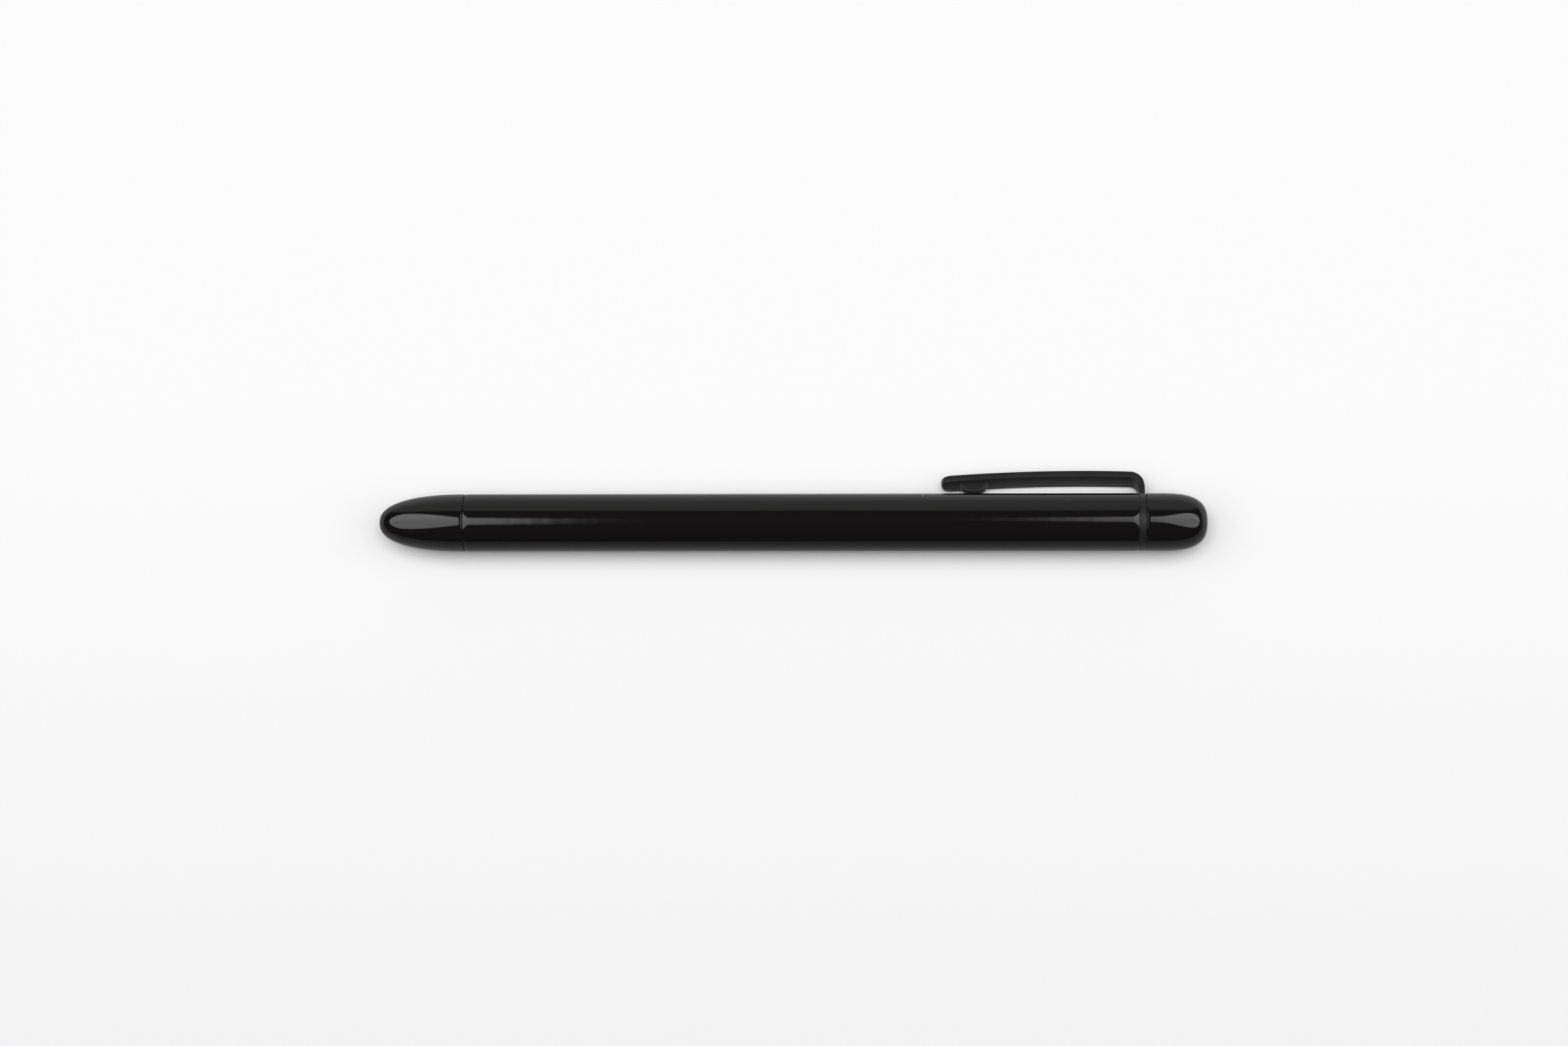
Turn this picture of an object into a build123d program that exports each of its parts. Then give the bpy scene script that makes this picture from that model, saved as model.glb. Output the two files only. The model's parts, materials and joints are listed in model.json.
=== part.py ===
from build123d import *
import math
import os

# Lens cleaning pen: glossy barrel, bullet nose cap over a dust brush, blunt dome over a carbon
# cleaning tip, and a spring clip whose ring is clamped behind the barrel.
# Millimetres. Every piece is drawn on the pen's own axis: X runs along the pen with the barrel's
# front edge at 0 and the nose at negative X, Y points out towards the clip, Z across the clip.

# Barrel
BARREL_R = 5.0
BARREL_BORE = 4.4
BARREL_LENGTH = 117.0
EDGE_EASE = 0.05           # the last millimetre of the tube is drawn in by this much
EASE_LENGTH = 1.1
EDGE_ROUND = 0.16

# Nose cap
SEAM = 0.10                # gap that shows the collar's flange as a dark line
NOSE_LENGTH = 14.9
NOSE_REACH = 14.96         # where the bullet curve would close if it were not cut flat
NOSE_POWER = 2.31
NOSE_ROOT = 0.41
NOSE_WALL = 0.85
CAP_BORE = 4.2

# Clip ring and spring clip
CLIP_GAP = 0.12            # recess line on each side of the clip ring
RING_THICK = 1.05
RING_R = 4.94
RING_BORE = 3.95
RING_EDGE = 0.12           # rounding of the ring's rims
STUB_FOOT = 4.3            # how deep the riser's stub reaches into the ring
CLIP_WIDTH = 3.6
CLIP_THICK = 1.2
CLIP_REACH = 34.2          # from the ring's front face to the clip's free end
CLIP_TOP = 9.30            # highest point of the bowed strip's outer face, from the axis
CLIP_TOP_BACK = 10.1       # that point's distance in front of the ring
CLIP_BOW = 270.0
BEND_OUT = 2.5
RISER_SPLIT = 5.30         # height of the flexing line at the riser's root
SPLIT_GAP = 0.12
CLIP_EDGE = 0.14
TIP_BOW = 1.3              # how far the free end bows out in plan
TIP_ROUND = 0.3            # rounding of the free end in side view
BUMP_R = 2.63
BUMP_BACK = 28.65          # bump centre's distance in front of the ring
BUMP_WIDTH = 1.6
BUMP_AIR = 0.65            # air between the bump and the barrel at rest
BUMP_ROUND = 0.3

# Dome
DOME_STRAIGHT = 1.7
DOME_REACH = 8.9
DOME_POWER = 3.25
DOME_ROOT = 0.368
DOME_STEP = 6.4            # where the dome's bore narrows, beyond the barrel's back edge
DOME_STEP_R = 3.7

# Collars, rings and liners under the caps
FLANGE_R = 4.6
FRONT_NECK_R = 3.8
FRONT_NECK_END = -4.6
COLLAR_DEPTH = 8.0
COLLAR_CHAMFER = 0.3
GROOVE_FRONT = -2.2        # shallow groove that the nose cap's snap ring drops into
GROOVE_BACK = -1.2
GROOVE_DEPTH = 0.1
FRONT_BORE = 2.6
REAR_NECK_R = 3.4
REAR_NECK_END = 5.0        # beyond the barrel's back edge
REAR_CHAMFER = 0.25
RETAINER_R = 4.12
RETAINER_THICK = 0.7
SNAP_THICK = 0.9
SNAP_SPLIT = 0.9           # width of the snap ring's open gap
SNAP_AIR = 0.02
NOSE_SNAP_AT = -2.15
NOSE_LINER = (-4.9, -2.2)
END_SNAP_AT = 2.0          # these two from the barrel's back edge
END_LINER = (2.95, 4.7)
LINER_AIR = 0.05

# Dust brush
FERRULE_R = 2.6
FERRULE_BORE = 2.3
FERRULE_FRONT = -6.0
FERRULE_BACK = 6.0
CRIMP_AT = 0.9             # rolled crimp's distance behind the ferrule's mouth
CRIMP_HALF = 0.45
CRIMP_DEPTH = 0.12
BRISTLE_BULGE = 2.75
BRISTLE_BELLY = -9.6
BRISTLE_TIP = -12.8
PLUG_THICK = 2.0

# Cleaning tip, from the barrel's back edge
BALL_AT = 5.9
BALL_R = 1.1
BALL_PLAY = 0.03
STEM_R = 0.9
STEM_WAIST = 0.62
STEM_ROOT = -6.0
SOCKET_MOUTH = 1.02
HEAD_R = 2.6
HEAD_FRONT = 5.45
HEAD_BACK = 7.0
BACKING_R = 2.7
BACKING_THICK = 0.35
PAD_R = 2.8
PAD_THICK = 0.75
PAD_DISH = 0.3
PAD_LIP = 0.28
FOAM_SEAT_R = 3.2
FOAM_SEAT_FRONT = 8.4
FOAM_SEAT_END = 10.2
FOAM_FACE = 8.85
CUP_WALL = 0.25
CUP_FLOOR = 0.3

BACK = BARREL_LENGTH
RING_FRONT = BACK + CLIP_GAP
RING_BACK = RING_FRONT + RING_THICK
DOME_FRONT = RING_BACK + CLIP_GAP
DOME_CURVE = DOME_FRONT + DOME_STRAIGHT
DOME_END = DOME_CURVE + DOME_REACH
NOSE_END = -SEAM - NOSE_LENGTH


def face_of(edges):
    return make_face(Wire(edges))


def ring_profile(points):
    """Closed straight-sided profile in the XY plane."""
    return make_face(Polyline(*points, close=True))


def turned(profile):
    return revolve(profile, Axis.X)


def tube(x0, x1, r_out, r_in=0.0):
    return turned(ring_profile([(x0, r_in), (x1, r_in), (x1, r_out), (x0, r_out)]))


def nose_r(d):
    """Outer radius of the bullet at distance d from its seam."""
    return BARREL_R * (1 - (d / NOSE_REACH) ** NOSE_POWER) ** NOSE_ROOT


def make_barrel():
    ease_r = BARREL_R - EDGE_EASE
    half = Line((EASE_LENGTH, BARREL_R), (BACK / 2, BARREL_R))
    ease = TangentArc((EASE_LENGTH, BARREL_R), (EDGE_ROUND, ease_r), tangent=(-1, 0))
    corner = ThreePointArc(
        (EDGE_ROUND, ease_r),
        (EDGE_ROUND * 0.29, ease_r - EDGE_ROUND * 0.29),
        (0, ease_r - EDGE_ROUND),
    )
    face = Line((0, ease_r - EDGE_ROUND), (0, BARREL_BORE))
    bore = Line((0, BARREL_BORE), (BACK / 2, BARREL_BORE))
    middle = Line((BACK / 2, BARREL_BORE), (BACK / 2, BARREL_R))
    front = turned(face_of([half, ease, corner, face, bore, middle]))
    return front + mirror(front, Plane.YZ.offset(BACK / 2))


def bullet_points(reach, power, root, length, steps):
    """Points (distance, radius) along a bullet curve, crowded where it curves most."""
    last = math.asin((length / reach) ** (power / 2))
    points = []
    for i in range(steps + 1):
        share = math.sin(last * i / steps) ** 2
        points.append((reach * share ** (1 / power), BARREL_R * (1 - share) ** root))
    return points


def make_nose_cap():
    seam_r = BARREL_R - EDGE_ROUND
    outer = bullet_points(NOSE_REACH, NOSE_POWER, NOSE_ROOT, NOSE_LENGTH, 16)
    outer = [(-SEAM - d, r) for d, r in outer if d > 1.5]
    curve = Spline((-SEAM - EDGE_ROUND, BARREL_R), *outer, tangents=[(-1, 0), (-0.05, -1)])
    edge = RadiusArc((-SEAM, seam_r), (-SEAM - EDGE_ROUND, BARREL_R), -EDGE_ROUND)
    flat = Line(outer[-1], (NOSE_END, 0))
    inner_end = NOSE_END + 1.1
    inner = [(-SEAM - d, nose_r(d) - NOSE_WALL) for d in (12.6, 11.0, 9.2, 7.2)]
    shoulder_x = -SEAM - 5.4
    inner_curve = Spline((inner_end, 0.9), *inner, (shoulder_x, CAP_BORE - 0.35))
    axis_side = Polyline((NOSE_END, 0), (inner_end, 0), (inner_end, 0.9))
    mouth = Polyline(
        (shoulder_x, CAP_BORE - 0.35), (shoulder_x, CAP_BORE), (-SEAM, CAP_BORE), (-SEAM, seam_r)
    )
    return turned(
        face_of([edge, curve, flat, *axis_side.edges(), inner_curve, *mouth.edges()])
    )


def make_end_cap():
    seam_r = BARREL_R - EDGE_ROUND
    outer = bullet_points(DOME_REACH, DOME_POWER, DOME_ROOT, DOME_REACH, 14)
    curve = Spline(*[(DOME_CURVE + d, r) for d, r in outer], tangents=[(1, 0), (0, -1)])
    edge = RadiusArc((DOME_FRONT, seam_r), (DOME_FRONT + EDGE_ROUND, BARREL_R), EDGE_ROUND)
    side = Line((DOME_FRONT + EDGE_ROUND, BARREL_R), (DOME_CURVE, BARREL_R))
    step_x = BACK + DOME_STEP
    inside = Polyline(
        (DOME_END, 0),
        (BACK + FOAM_SEAT_END, 0),
        (BACK + FOAM_SEAT_END, FOAM_SEAT_R),
        (BACK + FOAM_SEAT_FRONT, FOAM_SEAT_R),
        (BACK + FOAM_SEAT_FRONT, DOME_STEP_R),
        (step_x, DOME_STEP_R),
        (step_x, CAP_BORE),
        (DOME_FRONT, CAP_BORE),
        (DOME_FRONT, seam_r),
    )
    return turned(face_of([edge, side, curve, *inside.edges()]))


def make_front_collar():
    cut = COLLAR_CHAMFER
    groove_r = FRONT_NECK_R - GROOVE_DEPTH
    profile = [
        (COLLAR_DEPTH, FRONT_BORE), (COLLAR_DEPTH, BARREL_BORE - cut),
        (COLLAR_DEPTH - cut, BARREL_BORE), (0, BARREL_BORE), (0, FLANGE_R),
        (-SEAM, FLANGE_R), (-SEAM, FRONT_NECK_R),
        (GROOVE_BACK, FRONT_NECK_R), (GROOVE_BACK, groove_r),
        (GROOVE_FRONT, groove_r), (GROOVE_FRONT, FRONT_NECK_R),
        (FRONT_NECK_END + cut, FRONT_NECK_R), (FRONT_NECK_END, FRONT_NECK_R - cut),
        (FRONT_NECK_END, FRONT_BORE),
    ]
    return turned(ring_profile(profile))


def make_rear_collar():
    inner, end = BACK - COLLAR_DEPTH, BACK + REAR_NECK_END
    profile = [
        (inner, STEM_R), (inner, BARREL_BORE - COLLAR_CHAMFER),
        (inner + COLLAR_CHAMFER, BARREL_BORE), (BACK, BARREL_BORE), (BACK, FLANGE_R),
        (RING_FRONT, FLANGE_R), (RING_FRONT, RING_BORE), (RING_BACK, RING_BORE),
        (RING_BACK, REAR_NECK_R), (end - REAR_CHAMFER, REAR_NECK_R),
        (end, REAR_NECK_R - REAR_CHAMFER), (end, STEM_R),
    ]
    return turned(ring_profile(profile))


def make_ferrule():
    """Thin tube with one rolled crimp behind its mouth that bites the bristles."""
    mouth, crimp = FERRULE_FRONT, FERRULE_FRONT + CRIMP_AT
    lead = 0.05
    return turned(ring_profile([
        (FERRULE_BACK, FERRULE_BORE), (mouth, FERRULE_BORE),
        (mouth, FERRULE_R - lead), (mouth + lead, FERRULE_R),
        (crimp - CRIMP_HALF, FERRULE_R), (crimp, FERRULE_R - CRIMP_DEPTH),
        (crimp + CRIMP_HALF, FERRULE_R), (FERRULE_BACK, FERRULE_R),
    ]))


def make_bristles():
    root = FERRULE_BACK - PLUG_THICK
    widest = (BRISTLE_BELLY, BRISTLE_BULGE)
    belly = TangentArc((FERRULE_FRONT, FERRULE_BORE), widest, tangent=(-1, 0.02))
    shoulder = (BRISTLE_BELLY - 2.0, BRISTLE_BULGE - 0.8)
    tip = Spline(widest, shoulder, (BRISTLE_TIP, 0), tangents=[belly % 1, (0, -1)])
    rest = Polyline((BRISTLE_TIP, 0), (root, 0), (root, FERRULE_BORE),
                    (FERRULE_FRONT, FERRULE_BORE))
    return turned(face_of([belly, tip] + list(rest.edges())))


def make_clip_ring():
    ring = tube(RING_FRONT, RING_BACK, RING_R, RING_BORE)
    rims = ring.edges().filter_by(GeomType.CIRCLE).group_by(SortBy.RADIUS)[-1]
    stub = Pos((RING_FRONT + RING_BACK) / 2, (RISER_SPLIT + STUB_FOOT) / 2, 0) * Box(
        RING_THICK, RISER_SPLIT - STUB_FOOT, CLIP_WIDTH
    )
    return fillet(rims, RING_EDGE) + stub


def bow(x, depth):
    """Height above the axis of the bowed strip, at a depth under its outer face."""
    top_x = RING_FRONT - CLIP_TOP_BACK
    return CLIP_TOP - CLIP_BOW + math.sqrt((CLIP_BOW - depth) ** 2 - (x - top_x) ** 2)


def clip_outline():
    """Side view of the clip: riser, bend and bowed strip, as a closed list of edges."""
    top_x = RING_FRONT - CLIP_TOP_BACK
    free = RING_FRONT - CLIP_REACH
    end_x = free + TIP_ROUND
    bend_x = RING_BACK - BEND_OUT
    y_out = bow(bend_x, 0)
    inner_r = BEND_OUT - RING_THICK
    in_x = RING_FRONT - inner_r
    y_in = bow(in_x, CLIP_THICK)
    root = RISER_SPLIT + SPLIT_GAP
    end_out, end_in = bow(end_x, 0), bow(end_x, CLIP_THICK)
    slope_out = (1.0, -(bend_x - top_x) / CLIP_BOW)
    outer = ThreePointArc((end_x, end_out), (top_x, CLIP_TOP), (bend_x, y_out))
    bend = TangentArc((bend_x, y_out), (RING_BACK, y_out - BEND_OUT), tangent=slope_out)
    riser = Polyline(
        (RING_BACK, y_out - BEND_OUT), (RING_BACK, root), (RING_FRONT, root),
        (RING_FRONT, y_in - inner_r),
    )
    inner_bend = TangentArc((RING_FRONT, y_in - inner_r), (in_x, y_in), tangent=(0, 1))
    inner = ThreePointArc((in_x, y_in), (top_x, CLIP_TOP - CLIP_THICK), (end_x, end_in))
    lower = RadiusArc((end_x, end_in), (free, end_in + TIP_ROUND), TIP_ROUND)
    end = Line((free, end_in + TIP_ROUND), (free, end_out - TIP_ROUND))
    upper = RadiusArc((free, end_out - TIP_ROUND), (end_x, end_out), TIP_ROUND)
    return [outer, bend, *riser.edges(), inner_bend, inner, lower, end, upper]


def make_clip_arm():
    arm = extrude(face_of(clip_outline()), CLIP_WIDTH / 2, both=True)
    root = RISER_SPLIT + SPLIT_GAP
    sides = arm.faces().filter_by(Axis.Z)
    rims = [e for f in sides for e in f.edges() if e.center().Y > root + 0.01]
    arm = fillet(rims, CLIP_EDGE)
    # the free end bows out in plan
    free, half = RING_FRONT - CLIP_REACH, CLIP_WIDTH / 2
    side_x = free + TIP_BOW
    bowed = ThreePointArc((side_x, half), (free, 0), (side_x, -half))
    rest = Polyline((side_x, -half), (BACK + CLIP_REACH, -half), (BACK + CLIP_REACH, half),
                    (side_x, half))
    plan = Plane((0, 0, 0), x_dir=(1, 0, 0), z_dir=(0, -1, 0))
    outline = extrude(plan * face_of([bowed, *rest.edges()]), 2 * CLIP_TOP, both=True)
    return arm & outline


def make_clip_bump():
    """Round-bellied grip bump: a short piece of a drum lying across the strip."""
    x = RING_FRONT - BUMP_BACK
    seat = bow(x, CLIP_THICK)
    low = BARREL_R + BUMP_AIR
    drum = Pos(x, low + BUMP_R, 0) * Cylinder(BUMP_R, BUMP_WIDTH)
    drum = fillet(drum.edges(), BUMP_ROUND)
    below = Pos(x, (low + seat) / 2, 0) * Box(4 * BUMP_R, seat - low + CLIP_THICK, BUMP_WIDTH)
    strip = extrude(face_of(clip_outline()), CLIP_WIDTH, both=True)
    return (drum & below) - strip


def make_tip_stem():
    """Pressed-in rod with a waist and a ball end."""
    waist = BACK + REAR_NECK_END - 0.05
    ball_x = BACK + BALL_AT
    ball = Pos(ball_x, 0, 0) * Sphere(BALL_R)
    return tube(BACK + STEM_ROOT, waist, STEM_R) + tube(waist, ball_x, STEM_WAIST) + ball


def make_tip_head():
    front, rim = BACK + HEAD_FRONT, 0.35
    disc = turned(ring_profile([
        (front, 0), (BACK + HEAD_BACK, 0), (BACK + HEAD_BACK, HEAD_R),
        (front + rim, HEAD_R), (front, HEAD_R - rim),
    ]))
    ball_x = BACK + BALL_AT
    socket = Pos(ball_x, 0, 0) * Sphere(BALL_R + BALL_PLAY)
    return disc - socket - tube(front - 1, ball_x - 0.3, SOCKET_MOUTH)


def make_tip_pad():
    x0 = BACK + HEAD_BACK + BACKING_THICK
    x1 = x0 + PAD_THICK
    lip_r = PAD_R - PAD_LIP
    dish_r = (lip_r ** 2 + PAD_DISH ** 2) / (2 * PAD_DISH)
    mid = x1 - PAD_DISH + dish_r - math.sqrt(dish_r ** 2 - (lip_r / 2) ** 2)
    dish = ThreePointArc((x1, lip_r), (mid, lip_r / 2), (x1 - PAD_DISH, 0))
    round_off = PAD_LIP * (1 - math.sqrt(0.5))
    rim = ThreePointArc((x1 - PAD_LIP, PAD_R), (x1 - round_off, PAD_R - round_off), (x1, lip_r))
    rest = Polyline((x1 - PAD_DISH, 0), (x0, 0), (x0, PAD_R), (x1 - PAD_LIP, PAD_R))
    return turned(face_of([dish, rim] + list(rest.edges())))


def make_foam_cup():
    x0, x1 = BACK + FOAM_SEAT_FRONT + 0.2, BACK + FOAM_SEAT_END
    inner_r = FOAM_SEAT_R - CUP_WALL
    return turned(ring_profile([
        (x1, 0), (x1, FOAM_SEAT_R), (x0, FOAM_SEAT_R), (x0, inner_r),
        (x1 - CUP_FLOOR, inner_r), (x1 - CUP_FLOOR, 0),
    ]))


def snap_ring(x, neck_r):
    """Open spring ring that sits in the cap's bore round a collar's neck."""
    r_out = CAP_BORE - 0.03
    ring = tube(x, x + SNAP_THICK, r_out, neck_r + SNAP_AIR)
    gap = Pos(x + SNAP_THICK / 2, -r_out, 0) * Box(2 * SNAP_THICK, r_out, SNAP_SPLIT)
    return ring - gap


def liner(span, neck_r):
    return tube(*span, CAP_BORE, neck_r + LINER_AIR)


pieces = {
    "barrel": make_barrel(),
    "nose_cap": make_nose_cap(),
    "end_cap": make_end_cap(),
    "clip_ring": make_clip_ring(),
    "clip_arm": make_clip_arm(),
    "clip_bump": make_clip_bump(),
    "front_collar": make_front_collar(),
    "brush_ferrule": make_ferrule(),
    "brush_bristles": make_bristles(),
    "brush_plug": tube(FERRULE_BACK - PLUG_THICK, FERRULE_BACK, FERRULE_BORE),
    "nose_cap_snap_ring": snap_ring(NOSE_SNAP_AT, FRONT_NECK_R),
    "nose_cap_liner": liner(NOSE_LINER, FRONT_NECK_R),
    "rear_collar": make_rear_collar(),
    "clip_retainer": tube(RING_BACK, RING_BACK + RETAINER_THICK, RETAINER_R, REAR_NECK_R),
    "end_cap_snap_ring": snap_ring(BACK + END_SNAP_AT, REAR_NECK_R),
    "end_cap_liner": liner([BACK + x for x in END_LINER], REAR_NECK_R),
    "tip_stem": make_tip_stem(),
    "tip_head": make_tip_head(),
    "tip_backing": tube(BACK + HEAD_BACK, BACK + HEAD_BACK + BACKING_THICK, BACKING_R),
    "tip_pad": make_tip_pad(),
    "foam_cup": make_foam_cup(),
    "carbon_foam": tube(
        BACK + FOAM_FACE, BACK + FOAM_SEAT_END - CUP_FLOOR, FOAM_SEAT_R - CUP_WALL
    ),
}

# The pen lies rolled until the clip's lower edge touches the table beside the barrel. The origin
# is then the middle of the box's underside.
edge_y, edge_z = CLIP_TOP - CLIP_EDGE, CLIP_WIDTH / 2 - CLIP_EDGE
roll = math.degrees(
    math.asin((BARREL_R - CLIP_EDGE) / math.hypot(edge_y, edge_z)) - math.atan2(edge_z, edge_y)
)
rolled = {name: Rot(-roll, 0, 0) * piece for name, piece in pieces.items()}
boxes = [piece.bounding_box() for piece in rolled.values()]
low_x, high_x = min(b.min.X for b in boxes), max(b.max.X for b in boxes)
low_y, high_y = min(b.min.Y for b in boxes), max(b.max.Y for b in boxes)
shift = Pos(-(low_x + high_x) / 2, -(low_y + high_y) / 2, -min(b.min.Z for b in boxes))

os.makedirs("parts", exist_ok=True)
for name, piece in rolled.items():
    export_step(shift * piece, f"parts/{name}.step")
print("roll", round(roll, 4), "shift", shift.position)
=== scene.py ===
"""Looks of the lens cleaning pen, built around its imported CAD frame."""
import json
import math
import random

import bpy
from mathutils import Matrix, Vector


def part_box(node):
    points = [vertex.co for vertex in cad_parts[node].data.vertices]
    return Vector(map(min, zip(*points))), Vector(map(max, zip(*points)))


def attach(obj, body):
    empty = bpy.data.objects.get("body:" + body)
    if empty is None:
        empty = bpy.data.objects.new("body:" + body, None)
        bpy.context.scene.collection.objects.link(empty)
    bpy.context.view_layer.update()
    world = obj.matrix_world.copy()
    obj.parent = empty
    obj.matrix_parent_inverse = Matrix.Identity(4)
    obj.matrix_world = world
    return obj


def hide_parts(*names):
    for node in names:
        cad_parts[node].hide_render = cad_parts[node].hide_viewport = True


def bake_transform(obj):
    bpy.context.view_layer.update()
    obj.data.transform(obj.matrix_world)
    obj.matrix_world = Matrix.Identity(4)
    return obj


MM = 0.001
SIDES = 192                     # facets round a lathed shell

# The photograph's view: 36 mm wide film, looking down from a little in front of the pen.
LENS_MM = 84.5
FILM_MM = 36.0
CAMERA_AT = (0.0283, -0.09526, 0.63708)
CAMERA_TILT = (0.146242, 0.046038, 0.005504)

# Tube and caps, in millimetres. Both end curves are radius = R (1 - (d / reach) ** power) ** root
BARREL_BORE = 4.4
CAP_BORE = 4.2
NOSE_WALL = 0.85
NOSE_CURVE = {"reach": 14.96, "power": 2.31, "root": 0.41}
DOME_CURVE = {"reach": 8.9, "power": 3.25, "root": 0.368}
EDGE_ROUND = 0.16
EASE_LENGTH, EASE_DROP = 1.1, 0.04      # near its ends the tube draws in by the drop

# Clip and its ring, in millimetres
RING_R, RING_BORE, RING_EDGE = 4.94, 3.95, 0.12
CLIP_HALF = 1.8                 # half of the strip's width
CLIP_THICK = 1.2
CLIP_TOP = 9.30                 # outer face's highest point, from the axis
CLIP_TOP_BACK = 10.1            # that point's distance in front of the ring
CLIP_BOW = 270.0                # radius of the outer face's long bow
BEND_OUT = 2.5                  # outer radius of the bend above the ring
CLIP_EDGE = 0.16
ROOT_DEPTH = 0.7                # how far the riser starts under the barrel's outside
TIP_BOW = 1.6                   # the free end is half an ellipse in plan
TIP_EASE, TIP_DROP = 0.7, 0.35  # in side view it thins over this length, by this much on each face
BUMP_R, BUMP_HALF, BUMP_AIR, BUMP_RIM = 2.63, 0.8, 0.65, 0.3
BUMP_SPREAD = 94                # degrees of the drum each side of its lowest line

# Brush, in millimetres from the ferrule's mouth
HAIRS, HAIR_STATIONS, HAIR_SIDES = 2100, 8, 3
BRUSH_MOUTH_R, BRUSH_BELLY_R = 2.25, 2.70
BRUSH_BELLY_AT, BRUSH_TIP_AT = 3.6, 6.8
HAIR_ROOT, HAIR_REACH = 1.2, 6.75

# Studio light, as radiance. Angles are in radians
PANEL = (2.48, 2.46, 2.52)
WALL = (0.41, 0.41, 0.40)
DIM = (0.04, 0.038, 0.038)
PALE = (0.9, 0.9, 0.9, 1)       # what the camera sees beyond the table
STUDIO_LEAN = 0.0930            # the panels lean towards the camera by this angle
SUN_STRENGTH, SUN_SIZE, SUN_LEAN = 3.75, 0.76, 0.06
TABLE_HALF = 4.0                # metres
# Table colour across its depth, in metres, darkened towards the viewer as painted shade: to the eye,
# and darker still in the pen's gloss as a painted shadow in the reflection
TABLE_SEEN_PAINTED_SHADE = [(-0.10, 0.381), (-0.02, 0.406), (0.02, 0.416), (0.10, 0.418)]
TABLE_MIRRORED_PAINTED_SHADE = [(-0.051, 0.11), (-0.010, 0.17), (0.0, 0.21), (0.025, 0.25)]

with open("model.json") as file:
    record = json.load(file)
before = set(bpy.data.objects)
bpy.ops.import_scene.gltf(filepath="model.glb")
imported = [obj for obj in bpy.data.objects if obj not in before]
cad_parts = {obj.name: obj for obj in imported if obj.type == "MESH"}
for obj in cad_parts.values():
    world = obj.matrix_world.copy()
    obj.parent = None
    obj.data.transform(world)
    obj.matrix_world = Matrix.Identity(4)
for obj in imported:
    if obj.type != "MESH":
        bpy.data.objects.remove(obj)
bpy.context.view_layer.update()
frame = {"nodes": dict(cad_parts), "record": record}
joints = {j["name"]: j for j in frame["record"]["behaviour"]["joints"]}


# ---------------------------------------------------------------- the pen's own axis

def side(node, corner, axis):
    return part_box(node)[corner][axis] / MM


BARREL_FRONT, BARREL_BACK = side("barrel", 0, 0), side("barrel", 1, 0)
BARREL_R = (side("barrel", 1, 2) - side("barrel", 0, 2)) / 2
AXIS_Y = (side("barrel", 0, 1) + side("barrel", 1, 1)) / 2
AXIS_Z = (side("barrel", 0, 2) + side("barrel", 1, 2)) / 2
across = joints["clip_flex"]["axis"]
ROLL = math.atan2(-across[1], -across[2])

# From pen-axis millimetres (X along the pen, Y towards the clip, Z across it) to the row frame.
PEN = (
    Matrix.Scale(MM, 4)
    @ Matrix.Translation((0, AXIS_Y, AXIS_Z))
    @ Matrix.Rotation(-ROLL, 4, "X")
)
NOSE_SEAM, NOSE_END = side("nose_cap", 1, 0), side("nose_cap", 0, 0)
DOME_SEAM, DOME_END = side("end_cap", 0, 0), side("end_cap", 1, 0)
RING_FRONT, RING_BACK = side("clip_ring", 0, 0), side("clip_ring", 1, 0)
CLIP_FREE = side("clip_arm", 0, 0)


def new_object(name, verts, faces, material):
    """Mesh object from pen-axis millimetres, placed in the row frame."""
    mesh = bpy.data.meshes.new(name)
    mesh.from_pydata([PEN @ Vector(v) for v in verts], [], faces)
    mesh.validate()
    mesh.polygons.foreach_set("use_smooth", [True] * len(mesh.polygons))
    obj = bpy.data.objects.new(name, mesh)
    bpy.context.scene.collection.objects.link(obj)
    mesh.materials.append(material)
    return obj


# ---------------------------------------------------------------- outlines

def arc(cx, cy, radius, start, stop, steps=6):
    """Points on a circle round (cx, cy), angles in degrees."""
    turn = [math.radians(start + (stop - start) * i / steps) for i in range(steps + 1)]
    return [(cx + radius * math.cos(a), cy + radius * math.sin(a)) for a in turn]


def bullet(curve, length, steps):
    """(distance, radius) along an end curve, crowded where it curves most."""
    reach, power, root = curve["reach"], curve["power"], curve["root"]
    last = math.asin(min(1.0, (length / reach) ** (power / 2)))
    points = []
    for i in range(steps + 1):
        share = math.sin(last * i / steps) ** 2
        points.append((reach * share ** (1 / power), BARREL_R * (1 - share) ** root))
    return points


def spin(name, outline, material):
    """Turns a closed outline of (x, radius) round the pen's axis."""
    verts, rings = [], []
    for x, r in outline:
        if r < 1e-6:
            rings.append([len(verts)])
            verts.append((x, 0.0, 0.0))
            continue
        rings.append(list(range(len(verts), len(verts) + SIDES)))
        for k in range(SIDES):
            a = 2 * math.pi * k / SIDES
            verts.append((x, r * math.cos(a), r * math.sin(a)))
    faces = []
    for i, here in enumerate(rings):
        there = rings[(i + 1) % len(rings)]
        for k in range(SIDES):
            m = (k + 1) % SIDES
            if len(here) > 1 and len(there) > 1:
                faces.append((here[k], there[k], there[m], here[m]))
            elif len(here) > 1:
                faces.append((here[k], there[0], here[m]))
            elif len(there) > 1:
                faces.append((here[0], there[k], there[m]))
    obj = new_object(name, verts, faces, material)
    obj.data.set_sharp_from_angle(angle=math.radians(40))
    return obj


# ---------------------------------------------------------------- materials

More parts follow.
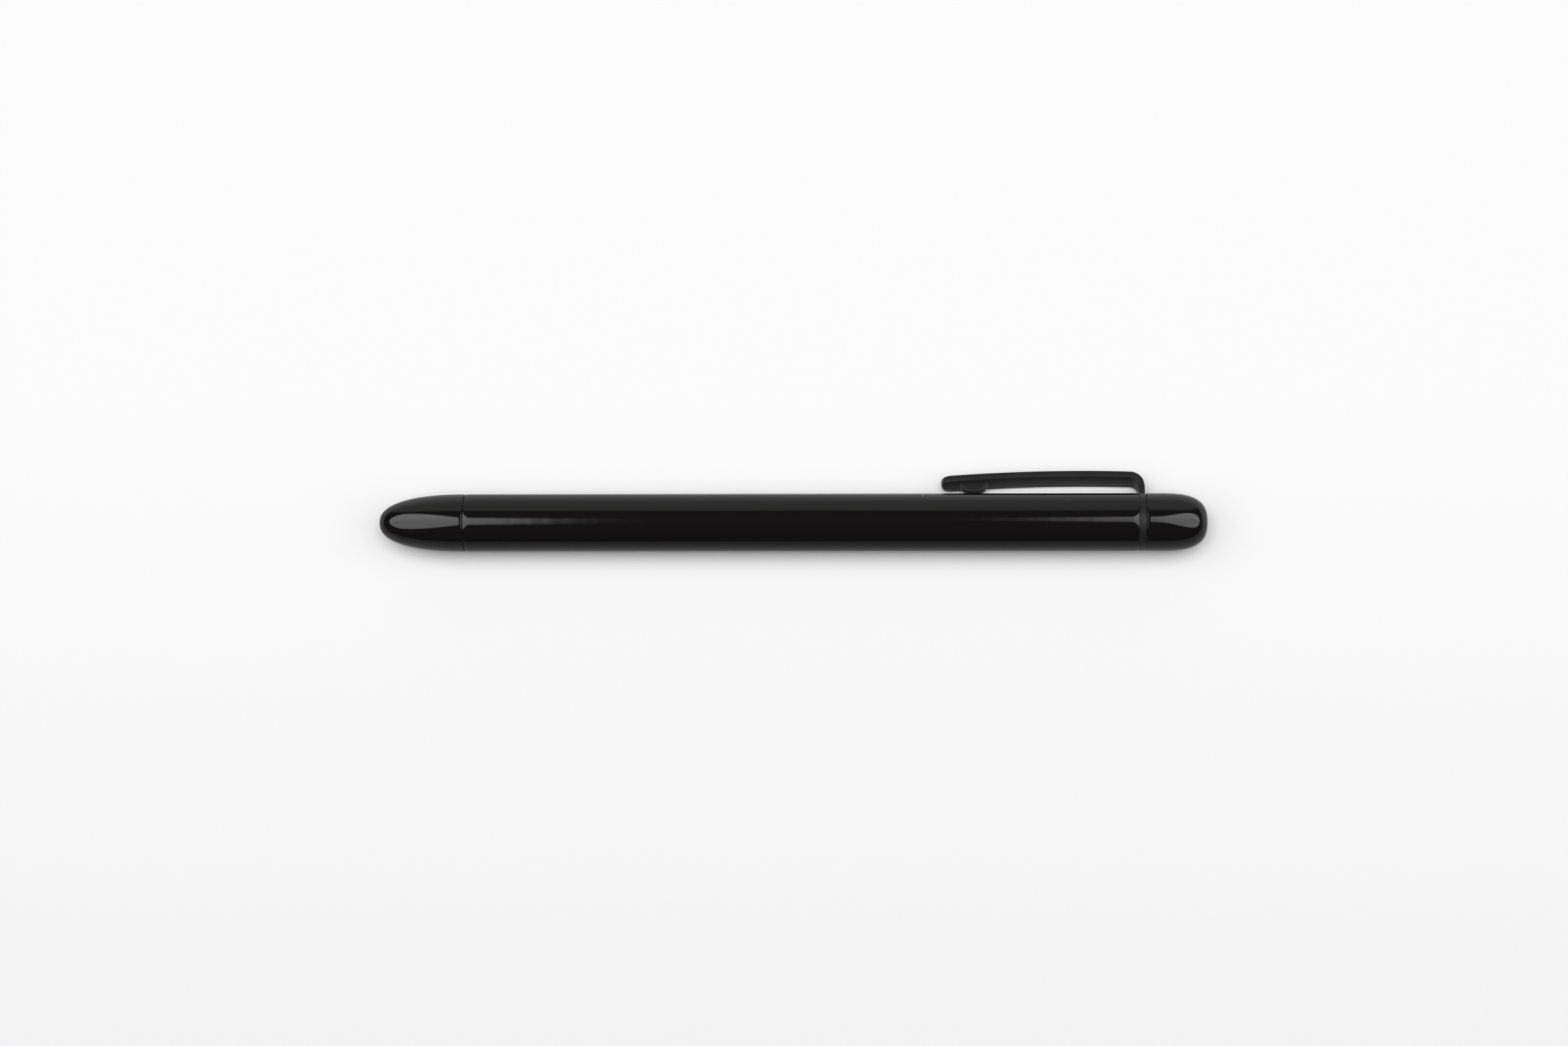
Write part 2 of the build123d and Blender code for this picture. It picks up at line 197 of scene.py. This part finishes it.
class Shader:
    """A Principled material, and short calls for the nodes that feed it."""

    def __init__(self, name, **sockets):
        self.material = bpy.data.materials.new(name)
        self.material.use_nodes = True
        self.tree = self.material.node_tree
        self.main = self.tree.nodes["Principled BSDF"]
        self.coords = None
        for socket, value in sockets.items():
            self.main.inputs[socket.replace("_", " ")].default_value = value

    def node(self, kind, **values):
        n = self.tree.nodes.new(kind)
        for key, value in values.items():
            if key in n.inputs:
                n.inputs[key].default_value = value
            else:
                setattr(n, key, value)
        return n

    def link(self, source, target):
        self.tree.links.new(source, target)

    def place(self):
        """Object coordinates, in metres."""
        if self.coords is None:
            self.coords = self.node("ShaderNodeTexCoord")
        return self.coords.outputs["Object"]

    def noise(self, scale, detail=2.0, rough=0.5, stretch=(1, 1, 1)):
        mapping = self.node("ShaderNodeMapping")
        mapping.inputs["Scale"].default_value = stretch
        self.link(self.place(), mapping.inputs["Vector"])
        n = self.node("ShaderNodeTexNoise", Scale=scale, Detail=detail, Roughness=rough)
        self.link(mapping.outputs["Vector"], n.inputs["Vector"])
        return n.outputs["Fac"]

    def ramp(self, source, low, high, start=0.0, stop=1.0):
        """Source between start and stop becomes a blend from low to high."""
        n = self.node("ShaderNodeValToRGB")
        n.color_ramp.elements[0].position, n.color_ramp.elements[1].position = start, stop
        n.color_ramp.elements[0].color, n.color_ramp.elements[1].color = low, high
        self.link(source, n.inputs["Fac"])
        return n.outputs["Color"]

    def feed(self, socket, source):
        self.link(source, self.main.inputs[socket])

    def bump(self, height, strength, distance):
        n = self.node("ShaderNodeBump", Strength=strength, Distance=distance)
        self.link(height, n.inputs["Height"])
        if self.main.inputs["Normal"].is_linked:
            self.link(self.main.inputs["Normal"].links[0].from_socket, n.inputs["Normal"])
        self.link(n.outputs["Normal"], self.main.inputs["Normal"])


def grey(value):
    return (value, value, value, 1.0)


def opaque(colour, shade=1.0):
    return tuple(c * shade for c in colour) + (1.0,)


def lacquer():
    """Deep black gloss lacquer: faint orange peel, hairline wipe marks, a few specks of dust."""
    s = Shader("gloss_lacquer", IOR=1.5)
    dust = s.node("ShaderNodeTexVoronoi", Scale=330.0)
    s.link(s.place(), dust.inputs["Vector"])
    sparse = s.noise(150.0, detail=1.0)
    near = s.ramp(dust.outputs["Distance"], grey(1), grey(0), 0.035, 0.075)
    some = s.ramp(sparse, grey(0), grey(1), 0.60, 0.66)
    speck = s.node("ShaderNodeMath", operation="MULTIPLY")
    s.link(near, speck.inputs[0])
    s.link(some, speck.inputs[1])
    s.feed("Base Color", s.ramp(speck.outputs[0], opaque((0.0026, 0.0023, 0.0023)), grey(0.12)))
    wipe = s.noise(900.0, detail=4.0, rough=0.7, stretch=(0.12, 1, 1))
    s.feed("Roughness", s.ramp(wipe, grey(0.045), grey(0.085), 0.35, 0.8))
    s.bump(s.noise(420.0, detail=1.5), 0.012, 0.0004)
    return s.material


def satin_black():
    """Moulded satin black of the clip: fine grain, slightly polished where fingers rub it."""
    s = Shader("satin_black", Specular_IOR_Level=0.33, Sheen_Weight=0.07, Sheen_Roughness=0.4)
    grain = s.noise(5200.0, detail=3.0, rough=0.6)
    cloud = s.noise(300.0, detail=3.0)
    dark, light = (0.0040, 0.0037, 0.0039), (0.0052, 0.0048, 0.0050)
    s.feed("Base Color", s.ramp(cloud, opaque(dark), opaque(light), 0.3, 0.7))
    s.feed("Roughness", s.ramp(cloud, grey(0.40), grey(0.48), 0.3, 0.7))
    s.bump(grain, 0.10, 0.00004)
    return s.material


def plain(name, colour, rough, grain=0.0):
    """A moulded or turned surface with a little colour drift and grain."""
    s = Shader(name)
    drift, wear = s.noise(700.0, detail=4.0), s.noise(1500.0, detail=3.0)
    s.feed("Base Color", s.ramp(drift, opaque(colour, 0.8), opaque(colour), 0.3, 0.7))
    s.feed("Roughness", s.ramp(wear, grey(rough * 0.85), grey(rough * 1.15)))
    if grain:
        s.bump(s.noise(3000.0, detail=3.0), grain, 0.00005)
    return s.material


def turned_metal(name, colour, rough):
    """Drawn or turned metal: fine rings round the axis."""
    s = Shader(name, Metallic=1.0)
    rings = s.noise(9000.0, detail=2.0, stretch=(1, 0.02, 0.02))
    s.feed("Base Color", s.ramp(rings, opaque(colour, 0.8), opaque(colour)))
    s.feed("Roughness", s.ramp(rings, grey(rough * 0.7), grey(rough * 1.3)))
    s.bump(rings, 0.15, 0.00002)
    return s.material


def hair():
    """Soft dark brown brush hair."""
    s = Shader("brush_hair")
    dark, light = (0.016, 0.012, 0.010), (0.075, 0.058, 0.045)
    s.feed("Base Color", s.ramp(s.noise(2600.0), opaque(dark), opaque(light), 0.3, 0.75))
    s.feed("Roughness", s.ramp(s.noise(6000.0), grey(0.38), grey(0.55)))
    return s.material


def chamois():
    """Napped leather charged with black carbon."""
    s = Shader("chamois", Sheen_Weight=0.25, Sheen_Roughness=0.5)
    nap = s.noise(3800.0, detail=5.0, rough=0.7)
    dark, light = (0.018, 0.017, 0.016), (0.060, 0.056, 0.052)
    s.feed("Base Color", s.ramp(nap, opaque(dark), opaque(light), 0.25, 0.75))
    s.feed("Roughness", s.ramp(nap, grey(0.85), grey(1.0)))
    s.bump(nap, 0.6, 0.00012)
    return s.material


def foam():
    """Open-cell foam charged with carbon powder."""
    s = Shader("carbon_foam")
    cells = s.node("ShaderNodeTexVoronoi", Scale=2600.0)
    s.link(s.place(), cells.inputs["Vector"])
    s.feed("Base Color", s.ramp(cells.outputs["Distance"], grey(0.006), grey(0.045), 0.05, 0.6))
    s.feed("Roughness", s.ramp(cells.outputs["Distance"], grey(1.0), grey(0.8)))
    s.bump(cells.outputs["Distance"], 0.8, 0.00025)
    return s.material


def paint_node(node, material):
    obj = frame["nodes"][node]
    if not obj.material_slots:
        obj.data.materials.append(material)
    for item in obj.material_slots:
        item.material = material


LACQUER = lacquer()
SATIN = satin_black()
COLLAR = plain("collar_black", (0.010, 0.010, 0.011), 0.32, grain=0.05)
LINER = plain("liner_plastic", (0.055, 0.055, 0.06), 0.5, grain=0.08)
RUBBER = plain("rubber", (0.022, 0.022, 0.023), 0.75, grain=0.2)
RESIN = plain("resin", (0.50, 0.36, 0.16), 0.25)
ALUMINIUM = turned_metal("ferrule_aluminium", (0.80, 0.80, 0.82), 0.26)
STEEL = turned_metal("spring_steel", (0.58, 0.58, 0.60), 0.2)
HAIR = hair()
CHAMOIS = chamois()
FOAM = foam()

for node, material in {
    "front_collar": COLLAR, "rear_collar": COLLAR, "clip_retainer": COLLAR,
    "brush_ferrule": ALUMINIUM, "brush_plug": RESIN, "tip_stem": STEEL,
    "nose_cap_snap_ring": STEEL, "end_cap_snap_ring": STEEL,
    "nose_cap_liner": LINER, "end_cap_liner": LINER, "tip_head": LINER, "foam_cup": LINER,
    "tip_backing": RUBBER,
}.items():
    paint_node(node, material)


# ---------------------------------------------------------------- glossy shells

def finish_shell(obj, node, body):
    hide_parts(node)
    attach(obj, body)


def make_barrel():
    """Tube whose ends draw in a little before their rounded rims."""
    mouth, steps = [], 8
    for i in range(steps + 1):
        share = i / steps
        x = EASE_LENGTH * (1 - share) + EDGE_ROUND * share
        mouth.append((x, BARREL_R - EASE_DROP * share ** 3))
    rounding = arc(EDGE_ROUND, BARREL_R - EASE_DROP - EDGE_ROUND, EDGE_ROUND, 90, 180)[1:]
    straight_from, bore_edge, bore_seen = (2.5, 1.5), 0.05, 1.0
    half = [(x, BARREL_R) for x in straight_from] + mouth + rounding
    half += [(0, BARREL_BORE + bore_edge), (bore_edge, BARREL_BORE), (bore_seen, BARREL_BORE)]
    front = [(BARREL_FRONT + x, r) for x, r in half]
    back = [(BARREL_BACK - x, r) for x, r in reversed(half)]
    finish_shell(spin("barrel_shell", front + back, LACQUER), "barrel", "barrel")


def make_nose_cap():
    """Bullet-shaped shell with a small flat end, hollow for the brush."""
    length = NOSE_SEAM - NOSE_END
    outside = arc(EDGE_ROUND, BARREL_R - EDGE_ROUND, EDGE_ROUND, 180, 90)
    rim_clear = 0.5
    outside += [(d, r) for d, r in bullet(NOSE_CURVE, length, 72) if d > rim_clear]
    flat_r = outside[-1][1]
    outside += [(length, flat_r * part) for part in (0.8, 0.4, 0)]
    shoulder, shoulder_step, end_wall, hollow_end_r = 5.4, 0.35, 1.1, 0.9
    bottom = length - end_wall
    deep = [(d, r - NOSE_WALL) for d, r in bullet(NOSE_CURVE, bottom - 0.6, 40) if d > shoulder]
    inside = [(bottom, 0), (bottom, hollow_end_r)] + list(reversed(deep))
    inside += [(shoulder, CAP_BORE - shoulder_step), (shoulder, CAP_BORE), (4.0, CAP_BORE),
               (0.4, CAP_BORE), (0, CAP_BORE + 0.1)]
    outline = [(NOSE_SEAM - d, r) for d, r in outside + inside]
    finish_shell(spin("nose_cap_shell", outline, LACQUER), "nose_cap", "nose_cap")


def make_end_cap():
    """Blunt dome, hollow for the cleaning tip, the foam and its cup."""
    seat_r, step_r = 3.2, 3.7
    straight = DOME_END - DOME_SEAM - DOME_CURVE["reach"]
    outside = arc(EDGE_ROUND, BARREL_R - EDGE_ROUND, EDGE_ROUND, 180, 90)
    outside += [(0.6, BARREL_R), (1.1, BARREL_R)]
    outside += [(straight + d, r) for d, r in bullet(DOME_CURVE, DOME_CURVE["reach"], 72)]
    bottom = side("foam_cup", 1, 0) - DOME_SEAM
    seat = side("foam_cup", 0, 0) - 0.2 - DOME_SEAM
    step = side("end_cap_liner", 1, 0) + 1.7 - DOME_SEAM
    inside = [(bottom, 0), (bottom, seat_r), (seat, seat_r), (seat, step_r), (step, step_r),
              (step, CAP_BORE), (1.0, CAP_BORE), (0.1, CAP_BORE), (0, CAP_BORE + 0.1)]
    outline = [(DOME_SEAM + d, r) for d, r in outside + inside]
    finish_shell(spin("end_cap_shell", outline, LACQUER), "end_cap", "end_cap")


# ---------------------------------------------------------------- clip

def bow(x, depth):
    """Height above the axis of the bowed strip, at a depth under its outer face."""
    from_top = x - RING_FRONT + CLIP_TOP_BACK
    return CLIP_TOP - CLIP_BOW + math.sqrt((CLIP_BOW - depth) ** 2 - from_top ** 2)


def clip_stations():
    """The clip from inside the ring to its free end: (x, y, outward normal, half thick, half wide)."""
    half = CLIP_THICK / 2
    bend_x = RING_BACK - BEND_OUT
    slope = math.asin((bend_x - RING_FRONT + CLIP_TOP_BACK) / CLIP_BOW)
    centre_x = bend_x - BEND_OUT * math.sin(slope)
    centre_y = bow(bend_x, 0) - BEND_OUT * math.cos(slope)
    riser_x, riser_half = (RING_FRONT + RING_BACK) / 2, (RING_BACK - RING_FRONT) / 2
    root = BARREL_R - ROOT_DEPTH
    stations = [(riser_x, y, (1.0, 0.0), riser_half, CLIP_HALF)
                for y in (root, root + 0.6, root + 1.1, centre_y)]
    turns = 16
    for i in range(turns + 1):
        a = (math.pi / 2 - slope) * i / turns
        thick = riser_half + (half - riser_half) * i / turns
        r, n = BEND_OUT - thick, (math.cos(a), math.sin(a))
        stations.append((centre_x + r * n[0], centre_y + r * n[1], n, thick, CLIP_HALF))

    def on_bow(x, wide):
        a = math.asin((x - RING_FRONT + CLIP_TOP_BACK) / CLIP_BOW)
        into_end = max(0.0, 1 - (x - CLIP_FREE) / TIP_EASE)
        thick = half - TIP_DROP * (1 - math.sqrt(1 - into_end ** 2))
        return x, bow(x, half), (math.sin(a), math.cos(a)), thick, wide

    steps, side_x = 54, CLIP_FREE + TIP_BOW
    for i in range(1, steps + 1):
        stations.append(on_bow(bend_x + (side_x - bend_x) * i / steps, CLIP_HALF))
    steps = 24
    for i in range(1, steps):
        a = math.pi / 2 * (1 - i / steps)
        stations.append(on_bow(CLIP_FREE + TIP_BOW * (1 - math.cos(a)), CLIP_HALF * math.sin(a)))
    return stations


def clip_section(half_thick, half_wide):
    """Rounded rectangle (outward, across)."""
    r = 0.98 * min(CLIP_EDGE, half_thick, half_wide)
    points = []
    for cx, cy, start in (
        (half_thick - r, half_wide - r, 0), (r - half_thick, half_wide - r, 90),
        (r - half_thick, r - half_wide, 180), (half_thick - r, r - half_wide, 270),
    ):
        points += arc(cx, cy, r, start, start + 90, 4)
    return points


def make_clip():
    """The riser and strip in one surface, and the ring band round the pen."""
    verts, faces = [], []
    stations = clip_stations()
    for x, y, n, thick, wide in stations:
        verts += [(x + n[0] * a, y + n[1] * a, b) for a, b in clip_section(thick, wide)]
    count = len(verts) // len(stations)
    for i in range(len(stations) - 1):
        for k in range(count):
            m = (k + 1) % count
            faces.append((i * count + k, i * count + m, (i + 1) * count + m, (i + 1) * count + k))
    faces.append(tuple(range(count)))
    faces.append(tuple(range(len(verts) - 1, len(verts) - 1 - count, -1)))
    strip = new_object("clip_strip", verts, faces, SATIN)
    strip.data.set_sharp_from_angle(angle=math.radians(50))
    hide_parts("clip_arm")
    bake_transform(strip)

    rim = arc(RING_EDGE, RING_R - RING_EDGE, RING_EDGE, 180, 90)[1:]
    half = [(0, RING_BORE), (0, RING_R - RING_EDGE)] + rim
    outline = [(RING_FRONT + x, r) for x, r in half]
    outline += [(RING_BACK - x, r) for x, r in reversed(half)]
    ring = spin("clip_ring_band", outline, SATIN)
    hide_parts("clip_ring")
    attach(ring, "barrel")


def make_bump():
    """Round-bellied grip bump with soft rims, under the clip's free end."""
    x0 = (side("clip_bump", 0, 0) + side("clip_bump", 1, 0)) / 2
    y0 = BARREL_R + BUMP_AIR + BUMP_R
    rim_r, rim_z = BUMP_R - BUMP_RIM, BUMP_HALF - BUMP_RIM
    profile = [(rim_r - 0.9, BUMP_HALF), (rim_r - 0.3, BUMP_HALF)]
    profile += [(rim_r + b, rim_z + a) for a, b in arc(0, 0, BUMP_RIM, 0, 90, 8)]
    profile += [(r, -z) for r, z in reversed(profile)]
    spread, steps = math.radians(BUMP_SPREAD), 72
    verts, faces = [], []
    for i in range(steps + 1):
        a = -math.pi / 2 - spread + 2 * spread * i / steps
        verts += [(x0 + r * math.cos(a), y0 + r * math.sin(a), z) for r, z in profile]
    n = len(profile)
    for i in range(steps):
        for k in range(n - 1):
            faces.append((i * n + k, i * n + k + 1, (i + 1) * n + k + 1, (i + 1) * n + k))
    for k in (0, n - 1):
        faces.append(tuple(i * n + k for i in range(steps + 1)))
    obj = new_object("clip_grip_bump", verts, faces, SATIN)
    obj.data.set_sharp_from_angle(angle=math.radians(40))
    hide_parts("clip_bump")
    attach(obj, "clip_arm")


# ---------------------------------------------------------------- brush, tip and foam

def brush_radius(x):
    """Outside of the brush at x, in millimetres from the ferrule's mouth towards the nose."""
    if x < BRUSH_BELLY_AT:
        swell = math.sin(math.pi / 2 * x / BRUSH_BELLY_AT)
        return BRUSH_MOUTH_R + (BRUSH_BELLY_R - BRUSH_MOUTH_R) * swell
    past = (x - BRUSH_BELLY_AT) / (BRUSH_TIP_AT - BRUSH_BELLY_AT)
    return BRUSH_BELLY_R * math.sqrt(max(0.0, 1 - past ** 2.2))


def make_brush():
    """Fine tapered hairs that leave the ferrule together, bulge and close to a soft point."""
    rng = random.Random(7)
    mouth_x = side("brush_ferrule", 0, 0)
    stations, sides = HAIR_STATIONS, HAIR_SIDES
    verts, faces = [], []
    for h in range(HAIRS):
        share = math.sqrt((h + 0.5) / HAIRS)
        angle = h * math.pi * (3 - math.sqrt(5)) + rng.uniform(-0.2, 0.2)
        reach = HAIR_REACH * math.sqrt(max(0.0, 1 - 0.80 * share ** 2.3)) + rng.uniform(-0.35, 0.0)
        wander, swing = rng.uniform(-0.16, 0.16), rng.uniform(-0.14, 0.14)
        thick = rng.uniform(0.026, 0.040)
        base = len(verts)
        for i in range(stations):
            t = i / (stations - 1)
            x = -HAIR_ROOT + (reach + HAIR_ROOT) * t
            outer = brush_radius(max(x, 0.0)) if x < BRUSH_TIP_AT else 0.0
            r = min(share * outer * (1 + 0.03 * wander) + wander * t, max(outer, 0.15))
            a = angle + swing * t * t
            taper = thick * (1 - 0.75 * t ** 2)
            for k in range(sides):
                b = 2 * math.pi * k / sides
                rr = max(r + taper * math.cos(b), 0.0)
                verts.append((mouth_x - x, rr * math.cos(a) - taper * math.sin(b) * math.sin(a),
                              rr * math.sin(a) + taper * math.sin(b) * math.cos(a)))
        for i in range(stations - 1):
            for k in range(sides):
                m = (k + 1) % sides
                p, q = base + i * sides, base + (i + 1) * sides
                faces.append((p + k, p + m, q + m, q + k))
        faces.append(tuple(base + (stations - 1) * sides + k for k in range(sides)))
    obj = new_object("brush_hairs", verts, faces, HAIR)
    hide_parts("brush_bristles")
    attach(obj, "barrel")


def disc_pad(name, x0, x1, material, radius, dish, lip, ripple, seed):
    """Round pad with a dished face, a rolled rim and an uneven napped surface."""
    rng = random.Random(seed)
    phases = [(rng.uniform(0, 6.28), rng.randint(3, 9)) for _ in range(5)]
    rings, rim_steps = 30, 8
    outline = [(x0, 0), (x0, radius * 0.5), (x0, radius), (x1 - lip, radius)]
    outline += [(x1 - lip + lip * math.sin(a), radius - lip + lip * math.cos(a))
                for a in [math.radians(90 * i / rim_steps) for i in range(1, rim_steps + 1)]]
    flat = radius - lip
    outline += [(x1 - dish * (1 - (1 - i / rings) ** 2), flat * (1 - i / rings))
                for i in range(1, rings + 1)]
    obj = spin(name, outline, material)
    turn = PEN.inverted()
    for v in obj.data.vertices:
        p = turn @ v.co
        r, a = math.hypot(p.y, p.z), math.atan2(p.z, p.y)
        if p.x > x0 + 0.05 and r > 0.01:
            wave = sum(math.sin(a * n + ph + r * 2.1) for ph, n in phases) / 5
            v.co = PEN @ Vector((p.x + min(0.0, ripple * wave), p.y, p.z))
    return obj


def make_tip():
    """Dished chamois face of the cleaning tip."""
    x0, x1 = side("tip_pad", 0, 0), side("tip_pad", 1, 0)
    obj = disc_pad("tip_chamois", x0, x1, CHAMOIS, radius=2.8, dish=0.3, lip=0.28, ripple=0.03, seed=3)
    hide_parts("tip_pad")
    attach(obj, "tip_head")


def make_foam():
    """Foam plug in the dome: a pad made facing the dome's end, then turned to face the tip."""
    x0, x1 = side("carbon_foam", 0, 0), side("carbon_foam", 1, 0)
    obj = disc_pad("foam_plug", -x1, -x0, FOAM, radius=2.94, dish=0.05, lip=0.12, ripple=0.05, seed=5)
    for v in obj.data.vertices:
        v.co.x = -v.co.x
    obj.data.flip_normals()
    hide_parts("carbon_foam")
    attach(obj, "end_cap")


# ---------------------------------------------------------------- studio

def make_floor():
    """Pale table. Its colour is painted a little darker towards the viewer as shade, and darker still
    where the pen's gloss mirrors it, as a painted shadow in the reflection.
    """
    mesh = bpy.data.meshes.new("table")
    half = TABLE_HALF
    mesh.from_pydata([(-half, -half, 0), (half, -half, 0), (half, half, 0), (-half, half, 0)],
                     [], [(0, 1, 2, 3)])
    floor = bpy.data.objects.new("table", mesh)
    bpy.context.scene.collection.objects.link(floor)
    s = Shader("white_table", Roughness=0.7, Specular_IOR_Level=0.1)
    split = s.node("ShaderNodeSeparateXYZ")
    s.link(s.place(), split.inputs[0])

    def by_y(stops):
        """Blend of colours between places across the table, in metres."""
        low, high = stops[0][0], stops[-1][0]
        span = s.node("ShaderNodeMapRange")
        span.inputs["From Min"].default_value, span.inputs["From Max"].default_value = low, high
        s.link(split.outputs["Y"], span.inputs["Value"])
        ramp = s.node("ShaderNodeValToRGB")
        while len(ramp.color_ramp.elements) < len(stops):
            ramp.color_ramp.elements.new(0.5)
        for stop, (y, value) in zip(ramp.color_ramp.elements, stops):
            stop.position, stop.color = (y - low) / (high - low), grey(value)
        s.link(span.outputs["Result"], ramp.inputs["Fac"])
        return ramp.outputs["Color"]

    # Painted shade: the table's colour darkens towards the viewer, and much more in glossy rays,
    # standing in for its shadow seen in the pen's gloss
    direct_painted_shade, mirrored_painted_shade = by_y(TABLE_SEEN_PAINTED_SHADE), by_y(TABLE_MIRRORED_PAINTED_SHADE)
    ray = s.node("ShaderNodeLightPath")
    mix = s.node("ShaderNodeMix", data_type="RGBA")
    s.link(ray.outputs["Is Glossy Ray"], mix.inputs["Factor"])
    s.link(direct_painted_shade, mix.inputs[6])
    s.link(mirrored_painted_shade, mix.inputs[7])
    s.feed("Base Color", mix.outputs[2])
    mesh.materials.append(s.material)


def make_sky():
    """Two soft light panels and a pale wall, as directions round the pen.

    A direction is named by where it meets a level plane one unit above the pen: (x / z, y / z).
    """
    world = bpy.data.worlds.new("studio")
    bpy.context.scene.world = world
    world.use_nodes = True
    tree = world.node_tree
    tree.nodes.clear()

    def math_node(operation, a, b=None):
        n = tree.nodes.new("ShaderNodeMath")
        n.operation = operation
        for i, value in enumerate((a, b)):
            if isinstance(value, (int, float)):
                n.inputs[i].default_value = value
            elif value is not None:
                tree.links.new(value, n.inputs[i])
        return n.outputs[0]

    def smooth(value, start, stop):
        """0 at start, 1 at stop."""
        n = tree.nodes.new("ShaderNodeMapRange")
        n.interpolation_type = "SMOOTHSTEP"
        n.inputs["From Min"].default_value, n.inputs["From Max"].default_value = start, stop
        tree.links.new(value, n.inputs["Value"])
        return n.outputs["Result"]

    place = tree.nodes.new("ShaderNodeTexCoord").outputs["Generated"]
    lean = tree.nodes.new("ShaderNodeMapping")
    lean.inputs["Rotation"].default_value = (-STUDIO_LEAN, 0, 0)
    tree.links.new(place, lean.inputs["Vector"])
    split = tree.nodes.new("ShaderNodeSeparateXYZ")
    tree.links.new(lean.outputs["Vector"], split.inputs[0])
    x, y, z = split.outputs
    up = math_node("MAXIMUM", z, 0.03)
    px, py = math_node("DIVIDE", x, up), math_node("DIVIDE", y, up)
    above = smooth(z, 0.0, 0.06)

    def panel(cx, cy, ax, ay, slant, soft, bulge):
        """Soft-edged oval round (cx, cy), reaching ax and ay, brighter at its far side."""
        lowest, extra = 0.87, 0.30
        dx = math_node("SUBTRACT", px, cx)
        middle = math_node("ADD", math_node("MULTIPLY", dx, slant), cy)
        dy = math_node("SUBTRACT", py, middle)
        ex = math_node("POWER", math_node("DIVIDE", math_node("ABSOLUTE", dx), ax), bulge)
        ey = math_node("POWER", math_node("DIVIDE", math_node("ABSOLUTE", dy), ay), 2.0)
        inside = smooth(math_node("ADD", ex, ey), 1 + soft, 1 - soft)
        upper = math_node("ADD", math_node("MULTIPLY", smooth(dy, -0.25, 0.45), extra), lowest)
        return math_node("MULTIPLY", math_node("MULTIPLY", inside, above), upper)

    left = panel(cx=-1.08, cy=0.170, ax=0.99, ay=0.90, slant=-0.12, soft=0.05, bulge=1.4)
    left = math_node("MULTIPLY", left, smooth(px, -0.095, -0.135))
    right = panel(cx=1.60, cy=0.112, ax=1.59, ay=0.82, slant=-0.02, soft=0.03, bulge=1.88)
    right = math_node("MULTIPLY", right, smooth(px, 0.0, 0.075))
    wall = smooth(y, 0.66, 0.78)

    def vector_node(operation, a, b, scale=None):
        n = tree.nodes.new("ShaderNodeVectorMath")
        n.operation = operation
        for i, value in enumerate((a, b)):
            if isinstance(value, tuple):
                n.inputs[i].default_value = value
            elif value is not None:
                tree.links.new(value, n.inputs[i])
        if scale is not None:
            tree.links.new(scale, n.inputs["Scale"])
        return n.outputs[0]

    total = vector_node("SCALE", PANEL, None, math_node("ADD", left, right))
    total = vector_node("ADD", total, vector_node("SCALE", WALL, None, wall))
    total = vector_node("ADD", total, DIM)
    lit = tree.nodes.new("ShaderNodeBackground")
    tree.links.new(total, lit.inputs["Color"])
    pale = tree.nodes.new("ShaderNodeBackground")
    pale.inputs["Color"].default_value = PALE
    seen = tree.nodes.new("ShaderNodeLightPath")
    mix = tree.nodes.new("ShaderNodeMixShader")
    out = tree.nodes.new("ShaderNodeOutputWorld")
    tree.links.new(seen.outputs["Is Camera Ray"], mix.inputs["Fac"])
    tree.links.new(lit.outputs[0], mix.inputs[1])
    tree.links.new(pale.outputs[0], mix.inputs[2])
    tree.links.new(mix.outputs[0], out.inputs["Surface"])


def make_sun():
    """Wide soft light from overhead that fills the table and leaves no mark in the gloss."""
    data = bpy.data.lights.new("overhead", "SUN")
    data.energy, data.angle = SUN_STRENGTH, SUN_SIZE
    sun = bpy.data.objects.new("overhead", data)
    sun.rotation_euler = (-SUN_LEAN, 0, 0)
    sun.location = (0, 0, 1)
    sun.visible_glossy = False
    bpy.context.scene.collection.objects.link(sun)


def make_camera():
    data = bpy.data.cameras.new("camera")
    data.lens, data.sensor_width = LENS_MM, FILM_MM
    data.clip_start, data.clip_end = 0.01, 50.0
    camera = bpy.data.objects.new("camera", data)
    camera.location, camera.rotation_euler = CAMERA_AT, CAMERA_TILT
    bpy.context.scene.collection.objects.link(camera)
    bpy.context.scene.camera = camera


make_camera()
make_barrel()
make_nose_cap()
make_end_cap()
make_clip()
make_bump()
make_brush()
make_tip()
make_foam()
make_floor()
make_sky()
make_sun()

settings = bpy.context.scene.view_settings
settings.view_transform, settings.look = "Standard", "None"
